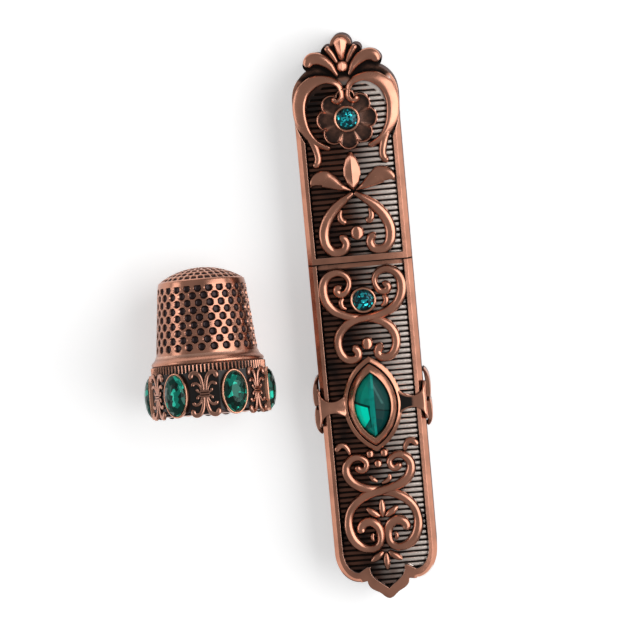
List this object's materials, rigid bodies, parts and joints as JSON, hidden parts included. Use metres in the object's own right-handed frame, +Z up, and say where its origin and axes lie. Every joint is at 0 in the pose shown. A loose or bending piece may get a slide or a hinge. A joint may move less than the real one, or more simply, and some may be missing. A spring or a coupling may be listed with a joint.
{
  "type": "needle case and thimble set",
  "caption": "Flat ornamented metal needle case with a pull-off cap, and its matching jewelled thimble lying beside it.",
  "frame": {"origin": "middle of the case's flat back, half way along the closed case", "axes": "+X across the case to its right edge, +Y along the case towards the cap's finial, +Z up out of the ornamented front; the thimble lies at -X"},
  "size_m": [0.0459, 0.0914, 0.0199],
  "materials": {
    "shell_copper": "oxidised copper, highlights rubbed bright",
    "front_copper": "oxidised copper, highlights rubbed bright",
    "neck_copper": "oxidised copper, highlights rubbed bright",
    "scroll_copper": "oxidised copper, highlights rubbed bright",
    "setting_copper": "oxidised copper, highlights rubbed bright",
    "teal_glass": "foiled faceted glass",
    "emerald_glass": "foiled faceted glass",
    "thimble_copper": "oxidised copper, highlights rubbed bright",
    "thimble_glass": "foiled faceted glass"
  },
  "bodies": {
    "case": {"body_back_shell": "shell_copper", "body_front_plate": "front_copper", "neck_sleeve": "neck_copper", "body_round_bezel": "setting_copper", "body_round_gem": "teal_glass", "gem_leaves": "scroll_copper", "upper_scroll_over": "scroll_copper", "upper_scroll_under": "scroll_copper", "body_drop_bead": "scroll_copper", "lower_scroll_over": "scroll_copper", "lower_scroll_under": "scroll_copper", "hook_curls": "scroll_copper", "three_beads": "scroll_copper", "tendrils": "scroll_copper", "cartouche_petals": "scroll_copper", "foot_petals": "scroll_copper", "inner_crescents": "scroll_copper", "navette_bezel": "setting_copper", "navette_gem": "emerald_glass", "gem_band": "setting_copper"},
    "cap": {"cap_back_shell": "shell_copper", "cap_front_plate": "front_copper", "arch_scroll_right": "scroll_copper", "arch_scroll_left": "scroll_copper", "finial_palmette": "scroll_copper", "finial_bead": "scroll_copper", "cap_flower": "scroll_copper", "cap_round_bezel": "setting_copper", "cap_round_gem": "teal_glass", "bud_leaf": "scroll_copper", "side_leaves": "scroll_copper", "heart_scroll_right": "scroll_copper", "heart_scroll_left": "scroll_copper", "heart_curls": "scroll_copper", "heart_bead": "scroll_copper"},
    "thimble": {"thimble_cup": "thimble_copper", "thimble_collar": "thimble_copper", "thimble_bezels": "thimble_copper", "thimble_gems": "thimble_glass", "thimble_fleurs": "thimble_copper"}
  },
  "joints": [
    {"name": "cap_pull", "type": "slide", "parent": "case", "child": "cap", "axis": [0, 1, 0], "range_m": [0, 0.03]},
    {"name": "thimble_lift", "type": "slide", "parent": "case", "child": "thimble", "axis": [0, 0, 1], "range_m": [0, 0.03]}
  ]
}
